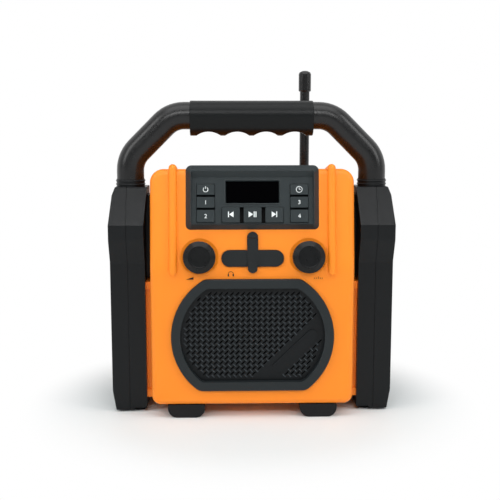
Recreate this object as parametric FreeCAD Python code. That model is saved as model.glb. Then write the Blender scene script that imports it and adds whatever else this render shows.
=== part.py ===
import FreeCAD, Part
import math
import os
from FreeCAD import Placement, Rotation, Vector

# Jobsite radio, millimetres. +X right, +Y back, +Z up, origin on the floor at the middle.

# Case: two moulded shells that meet at an upright seam
case_half_width = 86.6
case_depth = 108.0
case_bottom = 11.8
case_top = 214.6
bend_height = 132.0
panel_tilt = 9.0
top_fall = 9.0
bend_radius = 60.0
case_wall = 2.6
case_top_corner = 11.5
case_bottom_corner = 7.5
case_rim_round = 5.5
seam_y = 8.0
seal_thickness = 1.0
seal_inset = 0.5
seal_width = 1.6

# Ribs on the shells, and pads on their sides
rib_x = 67.0
rib_width = 7.0
rib_height = 3.6
rib_round = 3.4
rib_crest_round = 4.0
rib_end_round = 3.4
rib_front_end = 126.0
rib_rear_end = 168.0
pad_thickness = 5.9
pad_front = -28.0
pad_rear = 40.0
pad_bottom = 12.6
pad_top = 115.7
pad_bump_height = 6.6
pad_bump_reach = 3.0

# Side guards
pod_width = 30.0
pod_front = -34.0
pod_rear = 46.0
pod_wall = 2.8
inner_half_bottom = 3.8
outer_half_bottom = 1.2
shoulder_reach = 9.0
shoulder_low = 133.4
shoulder_start = 153.0
shoulder_ridge = 166.3
pod_top = 198.0
pod_rear_shoulder = 150.0
pod_seam_x = 107.2
pod_step_x = 103.6
pod_edge_round = 0.8
pod_top_taper = 2.6
pod_top_corner = 2.6
pod_top_corner_drop = 7.0
pod_top_lean = 2.5
pod_top_reach = 14.0
pod_bottom_taper = 3.0
pod_bottom_taper_height = 18.0
pod_bottom_round = 1.8
pod_rear_round = 14.0
pod_crown_round = 8.0
pod_crown_front_round = 1.5
shoulder_ridge_round = 2.5
shoulder_round = 6.0
pod_cavity_round = 2.0
pod_post_wall = 2.2
pod_socket_floor = 168.0
pod_cavity_top = 160.0
pod_screw_low = 22.0
pod_screw_y = 22.0
pod_screw_high = 136.0
pod_screw_seat = 2.5
pod_boss_front = -16.0
pod_boss_bottom = 118.0
pod_boss_top = 190.0
pod_boss_rear = 30.0
seam_groove_width = 0.6
seam_groove_depth = 0.7
pod_foot_side = 2.5
pod_foot_outer_side = 4.0
pod_foot_end = 6.0

# Handle: tube, grip and the collars that hold it
tube_x = 105.0
tube_y = -16.0
tube_radius = 11.75
tube_wall = 2.0
tube_bend_radius = 25.0
tube_corner_height = 222.0
handle_height = 258.5
fit_clearance = 0.1
collar_radius = 12.2
collar_height = 6.2
bead_radius = 0.8
grip_half_length = 53.0
grip_radius = 12.8
grip_keel_radius = 11.0
grip_keel_drop = 6.2
grip_hollow_count = 4
grip_hollow_pitch = 24.7
grip_hollow_depth = 3.6
grip_crest_width = 3.6
grip_end_round = 0.8

# Feet under the case
foot_outer_x = 73.0
foot_inner_x = 41.0
foot_front = -51.5
foot_depth = 16.0
foot_round = 8.5

# Display and key frame on the tilted panel; heights run up the panel from its bend
bezel_half_width = 56.2
bezel_low = 31.9
bezel_high = 86.2
bezel_rise = 5.0
rim_half_width = 51.9
rim_low = 35.9
rim_high = 81.7
bezel_corner = 5.0
hood_lip = 0.7
skirt_margin = 2.7
skirt_depth = 8.0
plate_foot_rise = 4.0
plate_extra_tilt = 4.0
plate_length = 40.3
plate_half_width = 51.4
plate_thickness = 2.0
plate_flange = 1.2
plate_flange_thickness = 1.4
cover_clearance = 0.2

# Display window
window_half_width = 22.9
window_low = 17.8
window_high = 37.4
window_recess = 1.2
module_margin = 2.4

# Keys; rows are heights up the plate
key_width = 15.0
key_side_x = 39.3
key_rise = 1.2
key_travel = 0.8
key_clearance = 0.3
key_round = 0.7
key_flange_reach = 1.0
key_flange_thickness = 1.2
top_row = (25.1, 34.1)
middle_row = (14.2, 23.4)
bottom_row = (1.9, 12.5)
transport_row = (1.6, 14.6)
transport_pitch = 18.2
mat_thickness = 1.4
board_thickness = 1.6
dome_radius = 3.0

# Knobs and the controls behind them
knob_x = 46.0
knob_shift = 1.2
knob_height = 8.5
knob_radius = 13.6
knob_face_radius = 8.8
knob_rise = 9.9
knob_shoulder = 6.4
knob_face_recess = 0.7
knob_under_gap = 0.7
knob_cap_wall = 1.4
dish_radius = 16.2
dish_floor_radius = 13.9
dish_depth = 1.0
shaft_radius = 3.0
shaft_clearance = 0.05
shaft_reach = 8.0
bushing_radius = 4.2
bushing_rise = 1.6
control_body_radius = 8.5
control_body_depth = 7.0
nut_across = 12.0
nut_thickness = 2.0

# Socket flap and the sockets under it
flap_half_width = 26.3
flap_low = 0.7
flap_high = 14.6
flap_rise = 1.5
strap_width = 9.0
strap_top = 29.9
strap_rise = 2.3
hinge_height = 24.6
hinge_gap = 0.3
tab_low = -4.8
tab_high = 4.2
tab_width = 8.0
tab_rise = 3.3
flap_recess = 0.8
flap_clearance = 0.3
anchor_stem_radius = 2.0
anchor_barb_radius = 3.0
socket_x = 17.5
socket_bore_radius = 1.78
socket_bore_depth = 14.0
socket_nose_radius = 3.0
socket_body_size = 12.0

# Loudspeaker
frame_gap_low = 13.4
frame_gap_high = 9.8
oval_side_bulge = 9.5
oval_side_centre = 11.3
oval_side_drop = 1.7
oval_blend = 9.0
oval_inner_blend = 6.5
frame_ring_width = 7.8
frame_proud = 3.2
frame_edge_round = 0.9
skirt_wall = 2.3
grille_thickness = 2.0
grille_recess = 5.6
slot_pitch_x = 4.7
slot_pitch_z = 4.63
slot_length = 4.0
slot_width = 1.1
slot_margin = 1.0
slot_shift_x = 1.3
slot_shift_z = -1.9
badge_x = 36.4
badge_height = 58.8
badge_angle = 44.0
badge_length = 50.0
badge_width = 9.6
badge_rise = 0.9
band_margin_high = 4.2
band_margin_low = 1.4
baffle_thickness = 2.4
baffle_overlap = 3.0
driver_margin = 7.5
driver_flange_thickness = 2.0
driver_rim_width = 7.0
cone_edge = 1.0
basket_depth = 24.0
magnet_radius = 27.0
basket_neck_radius = 21.6
magnet_depth = 14.0
voice_coil_radius = 12.0
driver_screw_inset = 2.8
screw_radius = 1.5
screw_head_radius = 2.9
screw_head_height = 1.8
speaker_screw_count = 4

# Case screws
case_screw_x = 76.0
case_screw_low = 24.0
case_screw_high = 186.0
boss_radius = 4.6
screw_grip_length = 12.0
counterbore_depth = 4.0

# Battery compartment
cell_radius = 13.0
cell_length = 50.0
cell_nub_radius = 3.2
cell_nub_length = 1.5
cell_rows = 3
cell_pitch = 27.0
compartment_height = 82.0
holder_wall = 2.0
holder_front = 20.0
holder_half_width = 60.0
contact_length = 5.5
contact_radius = 3.0
divider_half_width = 2.0
door_half_width = 64.0
door_opening_half_width = 56.0
door_opening_half_height = 40.0
door_thickness = 3.0
door_gap = 0.8
door_margin_low = 8.0
door_margin_high = 15.0
door_corner = 6.0
door_edge_round = 0.8
door_seal_width = 2.5
door_seal_offset = 1.5
hinge_axis_drop = 3.5
hinge_knuckle_radius = 3.0
hinge_pin_radius = 1.5
hinge_centre_x = 46.0
hinge_knuckle_width = 12.0
hinge_lug_width = 5.6
hinge_side_gap = 0.4
door_screw_inset = 14.0
door_screw_margin = 7.5
door_screw_head_radius = 6.0
door_screw_shank_radius = 2.4
door_screw_hole_gap = 0.6
door_screw_reach = 5.0
thumb_slot_width = 1.6
thumb_slot_depth = 2.0
door_clip_radius = 3.1
door_clip_thickness = 0.5

# Boards and the power inlet
main_board_half_width = 52.0
main_board_low = 50.0
main_board_high = 116.0
main_board_post = 5.0
inlet_x = -73.0
inlet_height = 52.0
inlet_radius = 5.5
inlet_bore_radius = 2.8
inlet_bore_depth = 9.5
inlet_pin_radius = 1.05
inlet_flange_radius = 6.8
inlet_flange = 1.0

# Aerial
aerial_x = 51.0
aerial_y = 44.0
aerial_pivot_height = 200.0
aerial_tip_height = 299.6
cap_length = 19.0
mast_radius = 4.4
cap_radius = 5.7
knuckle_radius = 5.5
knuckle_width = 7.4
ear_width = 3.6
ear_radius = 6.0
pivot_radius = 2.0
mast_start = 7.6
ledge_half_width = 62.0
ledge_front = 34.0
ledge_height = 192.0
base_plate = 2.0
clip_x = -55.0
clip_width = 8.0
clip_top = 208.0
clip_jaw_x = -42.0
clip_jaw_gap = 0.5
clip_jaw_wall = 1.8

# Places that follow from the sizes above
oval_half_height = (bend_height - frame_gap_high - case_bottom - frame_gap_low) / 2
oval_side_radius = oval_half_height + oval_side_bulge
speaker_height = case_bottom + frame_gap_low + oval_half_height
driver_flange_radius = oval_half_height - driver_margin
cone_radius = driver_flange_radius - driver_rim_width
screw_circle = driver_flange_radius - driver_screw_inset
aerial_cap_height = aerial_tip_height - cap_length
door_screw_x = door_half_width - door_screw_inset
front_y = -case_depth / 2
rear_y = case_depth / 2
tilt = math.radians(panel_tilt)
FRONT = Placement(Vector(0, 0, 0), Rotation(Vector(1, 0, 0), 90))
SIDE = Placement(Vector(0, 0, 0), Rotation(Vector(1, 1, 1), 120))
PANEL = Placement(Vector(0, front_y, bend_height), Rotation(Vector(1, 0, 0), 90 - panel_tilt))
plate_origin = PANEL.multVec(Vector(0, rim_low, plate_foot_rise))
PLATE = Placement(plate_origin, Rotation(Vector(1, 0, 0), 90 - panel_tilt - plate_extra_tilt))
pod_inner_x = case_half_width + pad_thickness
pod_outer_x = pod_inner_x + pod_width
knob_places = (knob_shift - knob_x, knob_shift + knob_x)
knob_front_y = PANEL.multVec(Vector(0, knob_height - knob_face_radius, knob_rise)).y
door_low = compartment_height - door_opening_half_height - door_margin_low
door_mid = door_low + door_margin_low + door_opening_half_height
door_top = door_mid + door_opening_half_height + door_margin_high
door_inner_y = rear_y + door_gap
door_outer_y = door_inner_y + door_thickness
door_screw_z = door_top - door_screw_margin
flange_n = -plate_thickness - plate_flange_thickness
key_flange_n = flange_n - fit_clearance
board_n = -skirt_depth


def place(shape, placement):
    """Move a shape from its drawing plane to its place on the radio."""
    return shape.transformed(placement.toMatrix())


def mirror_x(shape):
    """The same piece on the other side of the radio."""
    return shape.mirror(Vector(0, 0, 0), Vector(1, 0, 0))


def join(shapes):
    """Fuse pieces of one moulding and drop the lines between flush faces."""
    return shapes[0].fuse(shapes[1:]).removeSplitter()


def corner_arc(before, corner, after, radius):
    """Arc of the given radius that rounds a corner between two straight edges."""
    u = (before - corner).normalize()
    v = (after - corner).normalize()
    half = u.getAngle(v) / 2
    bisector = (u + v).normalize()
    reach = radius / math.tan(half)
    centre = corner + bisector * (radius / math.sin(half))
    return corner + u * reach, centre - bisector * radius, corner + v * reach


def outline(points, radii):
    """Closed wire through corners in the XY plane, each rounded by its own radius."""
    corners = [Vector(x, y, 0) for x, y in points]
    if not isinstance(radii, (list, tuple)):
        radii = [radii] * len(corners)
    stretches = []
    for i, corner in enumerate(corners):
        if radii[i] > 0:
            stretches.append(corner_arc(corners[i - 1], corner, corners[(i + 1) % len(corners)], radii[i]))
        else:
            stretches.append((corner, None, corner))
    edges = []
    for i, (start, middle, end) in enumerate(stretches):
        if middle is not None:
            edges.append(Part.Arc(start, middle, end).toShape())
        following = stretches[(i + 1) % len(stretches)][0]
        if (following - end).Length > 1e-6:
            edges.append(Part.makeLine(end, following))
    return Part.Wire(edges)


def sheet(wire, low, high):
    """Solid from a flat outline, between two heights over its plane."""
    face = Part.Face(wire)
    face.translate(Vector(0, 0, low))
    return face.extrude(Vector(0, 0, high - low))


def plate_of(points, radii, low, high):
    """Sheet straight from its corners."""
    return sheet(outline(points, radii), low, high)


def rectangle(x0, x1, y0, y1):
    """Corners of a rectangle, in order."""
    return [(x0, y0), (x1, y0), (x1, y1), (x0, y1)]


def block(x0, x1, y0, y1, z0, z1):
    """Box between two corners."""
    return Part.makeBox(x1 - x0, y1 - y0, z1 - z0, Vector(x0, y0, z0))


def rod(radius, start, end):
    """Round bar between two points."""
    axis = end - start
    return Part.makeCylinder(radius, axis.Length, start, axis)


def disc(radius, x, y, low, high):
    """Round bar that stands on the drawing plane."""
    return Part.makeCylinder(radius, high - low, Vector(x, y, low))


def turned(points, x, y):
    """Solid of revolution about an upright axis through x, y, from (radius, height) corners."""
    wire = Part.makePolygon([Vector(r, 0, h) for r, h in points + [points[0]]])
    solid = Part.Face(wire).revolve(Vector(0, 0, 0), Vector(0, 0, 1), 360)
    solid.translate(Vector(x, y, 0))
    return solid


def shifted_corners(points, inset):
    """Corners of a convex outline whose sides have all moved inwards by inset."""
    lines = []
    for i, (x0, y0) in enumerate(points):
        x1, y1 = points[(i + 1) % len(points)]
        length = math.hypot(x1 - x0, y1 - y0)
        nx, ny = -(y1 - y0) / length, (x1 - x0) / length
        lines.append((nx, ny, nx * x0 + ny * y0 + inset))
    corners = []
    for i, (a1, b1, c1) in enumerate(lines):
        a0, b0, c0 = lines[i - 1]
        det = a0 * b1 - a1 * b0
        corners.append(((c0 * b1 - c1 * b0) / det, (a0 * c1 - a1 * c0) / det))
    return corners


def case_profile(inset):
    """Side view of the case, as (Y, Z) corners and their radii."""
    lean = (case_top - bend_height) * math.tan(tilt)
    top_front = (front_y + lean, case_top)
    top_rear = (rear_y, case_top - (rear_y - top_front[0]) * math.tan(math.radians(top_fall)))
    points = [(front_y, case_bottom), (rear_y, case_bottom), top_rear, top_front, (front_y, bend_height)]
    return shifted_corners(points, inset), [0, 0, 0, 0, bend_radius - inset]


def case_solid(inset):
    """The whole case as one block, with every face moved inwards by inset."""
    half = case_half_width - inset
    points, radii = case_profile(inset)
    low = case_bottom + inset
    slope = math.tan(math.radians(top_fall))
    lean = (case_top - bend_height) * math.tan(tilt)
    above = (points[4][0] + (case_top * 1.5 - points[4][1]) * math.tan(tilt), case_top * 1.5)
    side = place(plate_of([points[0], points[1], (points[1][0], above[1]), above, points[4]],
                          [0, 0, 0, 0, radii[4]], -case_half_width * 2, case_half_width * 2), SIDE)
    start = -case_depth
    crown = case_top + (front_y + lean - start) * slope - inset / math.cos(math.radians(top_fall))
    corner = case_top_corner - inset
    upper = outline(rectangle(-half, half, -case_top, crown), [0, 0, corner, corner])
    upper = place(Part.Face(upper), FRONT)
    upper.translate(Vector(0, start, 0))
    upper = upper.extrude(Vector(0, 2 * case_depth, -2 * case_depth * slope))
    corner = case_bottom_corner - inset
    lower = place(plate_of(rectangle(-half, half, low, case_top * 2), [corner, corner, 0, 0],
                           -case_depth, case_depth), FRONT)
    return side.common(upper).common(lower)


def case_blank():
    """Outside of the case with its front and rear rims rounded."""
    solid = case_solid(0)
    rims = []
    for edge in solid.Edges:
        box = edge.BoundBox
        along_case = box.YLength > case_depth / 2
        across_bend = box.XLength > case_half_width and abs(box.ZMin - bend_height) < case_half_width / 2
        if not along_case and not across_bend:
            rims.append(edge)
    return solid.makeFillet(case_rim_round, rims)


def ribs():
    """Two raised bands that run over the top and down the front and the rear."""
    points, radii = case_profile(-rib_height)
    bands = []
    for side in (-1, 1):
        low = side * rib_x - rib_width / 2
        band = place(plate_of(points, radii, low, low + rib_width), SIDE)
        lines = [e for e in band.Edges if e.BoundBox.XLength > rib_width / 2 and e.CenterOfMass.z > bend_height * 1.2]
        band = band.makeFillet(rib_crest_round, lines)
        edges = [e for e in band.Edges if abs(abs(e.CenterOfMass.x - side * rib_x) - rib_width / 2) < 1e-3]
        band = band.makeFillet(rib_round, edges)
        for end, near, far in ((rib_front_end, 0, case_depth), (rib_rear_end, -case_depth, 0)):
            reach = place(plate_of(rectangle(low, low + rib_width, end, case_depth * 3),
                                   [rib_end_round, rib_end_round, 0, 0], near, far), FRONT)
            bands.append(band.common(reach))
    return bands


def side_pads():
    """Pads moulded on the sides of the case, which carry the guards."""
    pads = []
    for low, high, reach in ((pad_bottom, pad_top, 0),
                             (pad_bottom, pad_bottom + pad_bump_height, pad_bump_reach),
                             (pad_top - pad_bump_height, pad_top, pad_bump_reach)):
        pads.append(block(case_half_width - case_wall, pod_inner_x, pad_front - reach, pad_rear, low, high))
    pad = join(pads)
    return [pad, mirror_x(pad)]


def screw_places():
    """The four case screws, as X and Z."""
    return [(x, z) for x in (-case_screw_x, case_screw_x) for z in (case_screw_low, case_screw_high)]


def case_bosses(outside):
    """Columns inside the case that the screws run through."""
    return [rod(boss_radius, Vector(x, front_y, z), Vector(x, rear_y, z)).common(outside)
            for x, z in screw_places()]


def ledge(grow):
    """Step at the rear of the top where the aerial folds down."""
    half = ledge_half_width + grow
    return block(-half, half, ledge_front - grow, case_depth, ledge_height - grow, case_depth * 3)


def case_walls():
    """Hollow case with ribs, pads and bosses, before its openings are cut."""
    outside = case_blank()
    hollow = case_solid(case_wall).cut(ledge(case_wall))
    solid = join([outside] + ribs() + side_pads())
    solid = solid.cut(ledge(0)).cut(hollow)
    return join([solid] + case_bosses(outside))


def oval(offset, blend, low, high):
    """Loudspeaker outline: flat top and bottom, curved sides, each side moved in by offset."""
    h = oval_half_height - offset
    big = oval_side_radius - offset
    cx, cz = oval_side_centre, speaker_height - oval_side_drop
    corners = []
    for end in (1, -1):
        top = speaker_height + end * h
        bx = cx + math.sqrt((big - blend) ** 2 - (abs(top - cz) - blend) ** 2)
        bz = top - end * blend
        ray = Vector(bx - cx, bz - cz, 0).normalize()
        middle = (ray + Vector(0, end, 0)).normalize() * blend
        corners.append((Vector(bx, top, 0), Vector(bx, bz, 0) + middle, Vector(bx, bz, 0) + ray * blend))
    edges = []
    for side in (1, -1):
        (top, top_middle, top_side), (low_end, low_middle, low_side) = [
            [Vector(side * point.x, point.y, 0) for point in corner] for corner in corners]
        edges += [Part.Arc(top, top_middle, top_side).toShape(),
                  Part.Arc(top_side, Vector(side * (cx + big), cz, 0), low_side).toShape(),
                  Part.Arc(low_side, low_middle, low_end).toShape()]
    for corner in corners:
        edges.append(Part.makeLine(corner[0], Vector(-corner[0].x, corner[0].y, 0)))
    return sheet(Part.Wire(Part.__sortEdges__(edges)), low, high)


def pill(half_width, low, high, bottom, top):
    """Outline with full round ends, on the tilted panel."""
    radius = (high - low) / 2 - 0.01
    return plate_of(rectangle(-half_width, half_width, low, high), radius, bottom, top)


def flap_outline(grow, bottom, top, top_rise):
    """Cover and strap of the socket flap, grown all round."""
    cover = pill(flap_half_width + grow, flap_low - grow, flap_high + grow, bottom, top)
    half = strap_width / 2 + grow
    strap = plate_of(rectangle(-half, half, tab_high, strap_top + grow),
                     [0, 0, half - 0.1, half - 0.1], bottom, top_rise)
    return cover, strap


def panel_cuts():
    """Openings in the tilted panel and the loudspeaker face."""
    half = plate_half_width + skirt_margin + fit_clearance
    low = -skirt_margin - fit_clearance
    high = plate_length + skirt_margin + fit_clearance
    cuts = [place(block(-half, half, low, high, -skirt_depth - 4, bezel_rise), PLATE)]
    for x in knob_places:
        bowl = Part.makeCone(dish_floor_radius, dish_radius, dish_depth, Vector(x, knob_height, -dish_depth))
        rim = disc(dish_radius, x, knob_height, 0, case_wall)
        hole = disc(bushing_radius + fit_clearance, x, knob_height, -case_wall * 3, case_wall)
        seat = disc(control_body_radius + fit_clearance, x, knob_height, -case_wall * 3, -case_wall)
        cuts += [place(shape, PANEL) for shape in (bowl, rim, hole, seat)]
    cover, strap = flap_outline(flap_clearance, -flap_recess, case_wall, case_wall)
    stem = disc(anchor_stem_radius, 0, (hinge_height + strap_top) / 2, -case_wall * 3, case_wall)
    cuts += [place(shape, PANEL) for shape in (cover, strap, stem)]
    half = socket_body_size / 2 + fit_clearance
    for x in (-socket_x, socket_x):
        nose = disc(socket_nose_radius + fit_clearance, x, socket_middle(), -case_wall * 3, case_wall)
        seat = block(x - half, x + half, socket_middle() - half, socket_middle() + half, -case_wall * 3, -case_wall)
        cuts += [place(shape, PANEL) for shape in (nose, seat)]
    opening = oval(frame_ring_width - skirt_wall - fit_clearance, oval_inner_blend,
                   -front_y - case_wall * 2, -front_y + case_wall)
    cuts.append(place(opening, FRONT))
    return cuts


def hinge_lugs():
    """Ears on the rear shell that hold the battery door's pins."""
    y, z = hinge_axis()
    lugs = []
    for side in (-1, 1):
        for end in (-1, 1):
            near = hinge_knuckle_width / 2 + hinge_side_gap
            x = side * hinge_centre_x + end * (near + hinge_lug_width / 2)
            x0, x1 = x - hinge_lug_width / 2, x + hinge_lug_width / 2
            ear = rod(hinge_knuckle_radius, Vector(x0, y, z), Vector(x1, y, z))
            foot = block(x0, x1, rear_y - case_wall, y, z - hinge_knuckle_radius, z + hinge_knuckle_radius)
            lugs.append(ear.fuse(foot))
    return lugs


def hinge_axis():
    """Battery door hinge line, as Y and Z."""
    return door_outer_y - fit_clearance * 5, door_low - hinge_axis_drop


def rear_cuts():
    """Openings in the rear shell."""
    half = door_opening_half_width
    window = rectangle(-half, half, door_mid - door_opening_half_height, door_mid + door_opening_half_height)
    cuts = [place(plate_of(window, door_corner / 2, -rear_y - case_wall, -rear_y + case_wall * 2), FRONT)]
    for x in (-door_screw_x, door_screw_x):
        hole_radius = door_screw_shank_radius + door_screw_hole_gap
        cuts.append(rod(hole_radius, Vector(x, rear_y - case_wall * 2, door_screw_z),
                        Vector(x, rear_y + case_wall, door_screw_z)))
    cuts.append(rod(inlet_radius + fit_clearance, Vector(inlet_x, rear_y - case_wall * 2, inlet_height),
                    Vector(inlet_x, rear_y + case_wall, inlet_height)))
    y, z = hinge_axis()
    for side in (-1, 1):
        cuts.append(rod(hinge_pin_radius, Vector(side * hinge_centre_x - hinge_knuckle_width, y, z),
                        Vector(side * hinge_centre_x + hinge_knuckle_width, y, z)))
    return cuts


def shells():
    """Front and rear shell."""
    walls = case_walls()
    far = case_depth * 3
    front = walls.common(block(-far, far, -far, seam_y - seal_thickness / 2, -far, far))
    rear = walls.common(block(-far, far, seam_y + seal_thickness / 2, far, -far, far))
    for shape in panel_cuts():
        front = front.cut(shape)
    rear = join([rear] + hinge_lugs())
    for shape in rear_cuts():
        rear = rear.cut(shape)
    for x, z in screw_places():
        grip = rod(screw_radius, Vector(x, seam_y - screw_grip_length, z), Vector(x, seam_y, z))
        front = front.cut(grip)
        rear = rear.cut(rod(screw_radius + fit_clearance, Vector(x, seam_y, z), Vector(x, rear_y, z)))
        rear = rear.cut(rod(screw_head_radius + fit_clearance * 4, Vector(x, rear_y - counterbore_depth, z),
                            Vector(x, rear_y + case_wall, z)))
    return front, rear


def shell_gasket():
    """Seal between the shells, a little below their outside."""
    ring = case_solid(seal_inset).cut(case_solid(seal_inset + seal_width)).cut(ledge(0))
    far = case_depth * 3
    half = seal_thickness / 2
    return ring.common(block(-far, far, seam_y - half, seam_y + half, -far, far))


def case_screws():
    """Four long screws, driven from the rear."""
    screws = []
    for x, z in screw_places():
        seat = rear_y - counterbore_depth
        shank = rod(screw_radius, Vector(x, seam_y - screw_grip_length, z), Vector(x, seat, z))
        head = rod(screw_head_radius, Vector(x, seat, z), Vector(x, seat + screw_head_height, z))
        drive = block(x - screw_head_radius, x + screw_head_radius, seat + screw_head_height / 2, rear_y,
                      z - screw_head_height / 4, z + screw_head_height / 4)
        screws.append(shank.fuse(head).cut(drive))
    return Part.Compound(screws)


def pod_profile(bottom, inset):
    """Side view of a guard, as (Y, Z) corners and radii."""
    front = pod_front + inset
    nose = pod_front - shoulder_reach + inset
    rear = pod_rear - inset
    points = [(front, bottom + inset), (rear, bottom + inset), (rear, pod_rear_shoulder),
              (tube_y + pod_top_reach + inset, pod_top - inset), (tube_y - pod_top_reach + inset, pod_top - inset),
              (nose, shoulder_ridge), (nose, shoulder_start), (front, shoulder_low)]
    radii = [pod_bottom_round, pod_bottom_round, pod_rear_round, pod_crown_round, pod_crown_front_round,
             shoulder_ridge_round, shoulder_round, shoulder_round]
    return points, radii


def pod_front_view(x0, x1):
    """Front view of a guard between two X: it leans in at the top and tapers at its foot and its crown."""
    crown = pod_outer_x - pod_top_taper
    foot = pod_outer_x - pod_bottom_taper
    points = [(pod_inner_x, outer_half_bottom), (foot, outer_half_bottom),
              (pod_outer_x, outer_half_bottom + pod_bottom_taper_height), (pod_outer_x, shoulder_ridge),
              (crown, pod_top - pod_top_corner_drop), (crown - pod_top_corner, pod_top),
              (pod_inner_x - pod_top_lean, pod_top), (pod_inner_x, shoulder_ridge)]
    radii = [0, pod_bottom_round, shoulder_round, shoulder_round, pod_top_corner, 0, 0, 0]
    view = place(plate_of(points, radii, -case_depth, case_depth), FRONT)
    return view.common(block(x0, x1, -case_depth, case_depth, 0, pod_top))


def pod_half(x0, x1, deep0, deep1):
    """One half shell of a right-hand guard, hollow between two X."""
    points, radii = pod_profile(outer_half_bottom, 0)
    side = place(plate_of(points, radii, pod_inner_x - pod_top_lean, pod_outer_x), SIDE)
    solid = side.common(pod_front_view(x0, x1))
    points, radii = pod_profile(inner_half_bottom, pod_wall)
    front_face, floor = points[0]
    rear_face = points[1][0]
    cavity = [(front_face, floor), (rear_face, floor), (rear_face, pod_rear_shoulder),
              (rear_face - (pod_cavity_top - pod_rear_shoulder), pod_cavity_top), (front_face, pod_cavity_top)]
    solid = solid.cut(place(plate_of(cavity, pod_cavity_round, deep0, deep1), SIDE))
    return solid.cut(handle_socket())


def round_outer_edges(solid):
    """Small round on the long edges of a guard's outer side."""
    edges = []
    for edge in solid.Edges:
        box = edge.BoundBox
        outer = box.XMin > pod_outer_x - pod_wall - pod_bottom_taper + fit_clearance
        if outer and box.YLength < pod_width and box.ZLength > pod_edge_round and edge.CenterOfMass.y < 0:
            edges.append(edge)
    return solid.makeFillet(pod_edge_round, edges)


def handle_socket():
    """Upright hole for the right-hand foot of the handle."""
    return rod(tube_radius + fit_clearance, Vector(tube_x, tube_y, pod_socket_floor),
               Vector(tube_x, tube_y, pod_top * 2))


def seam_groove():
    """Narrow groove where the two halves of a guard meet."""
    half = seam_groove_width / 2
    points, radii = pod_profile(outer_half_bottom, 0)
    outer = place(plate_of(points, radii, pod_seam_x - half, pod_seam_x + half), SIDE)
    points, radii = pod_profile(outer_half_bottom, seam_groove_depth)
    inner = place(plate_of(points, [r - seam_groove_depth for r in radii],
                           pod_seam_x - seam_groove_width, pod_seam_x + seam_groove_width), SIDE)
    return outer.cut(inner)


def pod_screw_places():
    """Screws that clamp the guard halves and the case side, as Y and Z."""
    return [(pod_screw_y, pod_screw_low), (pod_screw_y, pod_screw_high)]


def pod_posts(x0, x1):
    """Posts inside a guard that the screws pass through."""
    return [rod(screw_head_radius + pod_post_wall, Vector(x0, y, z), Vector(x1, y, z))
            for y, z in pod_screw_places()]


def right_pod():
    """Inner and outer half of the right-hand guard."""
    inner = pod_half(pod_inner_x - pod_top_lean, pod_seam_x, pod_inner_x + pod_wall, pod_seam_x)
    inner = inner.cut(block(pod_inner_x - 1, pod_step_x, -case_depth, case_depth, 0, inner_half_bottom))
    outer = pod_half(pod_seam_x, pod_outer_x, pod_seam_x, pod_outer_x - pod_wall - pod_bottom_taper)
    boss = block(case_half_width, pod_inner_x + pod_wall, pod_boss_front, pod_boss_rear, pod_boss_bottom,
                 pod_boss_top)
    points, radii = pod_profile(inner_half_bottom, 0)
    boss = boss.common(place(plate_of(points, radii, 0, pod_outer_x), SIDE))
    inner = join([inner, boss] + pod_posts(pod_inner_x, pod_seam_x)).cut(handle_socket())
    outer = round_outer_edges(join([outer] + pod_posts(pod_seam_x, pod_outer_x - pod_edge_round)))
    seat = pod_outer_x - pod_screw_seat
    for y, z in pod_screw_places():
        hole = rod(screw_radius, Vector(case_half_width, y, z), Vector(seat, y, z))
        inner = inner.cut(hole)
        outer = outer.cut(hole)
        outer = outer.cut(rod(screw_head_radius + cover_clearance, Vector(seat, y, z), Vector(pod_outer_x, y, z)))
    return inner.cut(seam_groove()), outer.cut(seam_groove())


def pod_screws():
    """Screws driven into the guards from the outside."""
    screws = []
    seat = pod_outer_x - pod_screw_seat
    for y, z in pod_screw_places():
        shank = rod(screw_radius, Vector(pod_inner_x, y, z), Vector(seat, y, z))
        head = rod(screw_head_radius, Vector(seat, y, z), Vector(seat + screw_head_height, y, z))
        screw = shank.fuse(head)
        screws += [screw, mirror_x(screw)]
    return Part.Compound(screws)


def pod_foot():
    """Stepped rubber pad under the right-hand guard."""
    y0, y1 = pod_front + pod_foot_end, pod_rear - pod_foot_end
    outer_x = pod_outer_x - pod_bottom_taper - pod_foot_outer_side
    high = block(pod_inner_x + pod_foot_side, pod_step_x, y0, y1, 0, inner_half_bottom)
    low = block(pod_step_x, outer_x, y0, y1, 0, outer_half_bottom)
    return join([high, low])


def collar():
    """Ring round the foot of the handle, with two beads."""
    ring = Part.makeCylinder(collar_radius, collar_height, Vector(tube_x, tube_y, pod_top))
    for height in (collar_height * 0.3, collar_height * 0.78):
        bead = Part.makeTorus(collar_radius - bead_radius / 3, bead_radius, Vector(tube_x, tube_y, pod_top + height))
        ring = ring.fuse(bead)
    bore = Part.makeCylinder(tube_radius + fit_clearance, collar_height * 2,
                             Vector(tube_x, tube_y, pod_top - collar_height / 2))
    return ring.cut(bore).common(block(0, pod_outer_x * 2, -case_depth, case_depth, pod_top, pod_top + collar_height))


def handle_path():
    """Centre line of the handle tube."""
    run = handle_height - tube_corner_height
    corners = [Vector(-tube_x, tube_y, pod_socket_floor), Vector(-tube_x, tube_y, tube_corner_height),
               Vector(-tube_x + run, tube_y, handle_height), Vector(tube_x - run, tube_y, handle_height),
               Vector(tube_x, tube_y, tube_corner_height), Vector(tube_x, tube_y, pod_socket_floor)]
    edges = []
    last = corners[0]
    for i in range(1, len(corners) - 1):
        start, middle, end = corner_arc(corners[i - 1], corners[i], corners[i + 1], tube_bend_radius)
        edges.append(Part.makeLine(last, start))
        edges.append(Part.Arc(start, middle, end).toShape())
        last = end
    edges.append(Part.makeLine(last, corners[-1]))
    return Part.Wire(edges)


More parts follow.
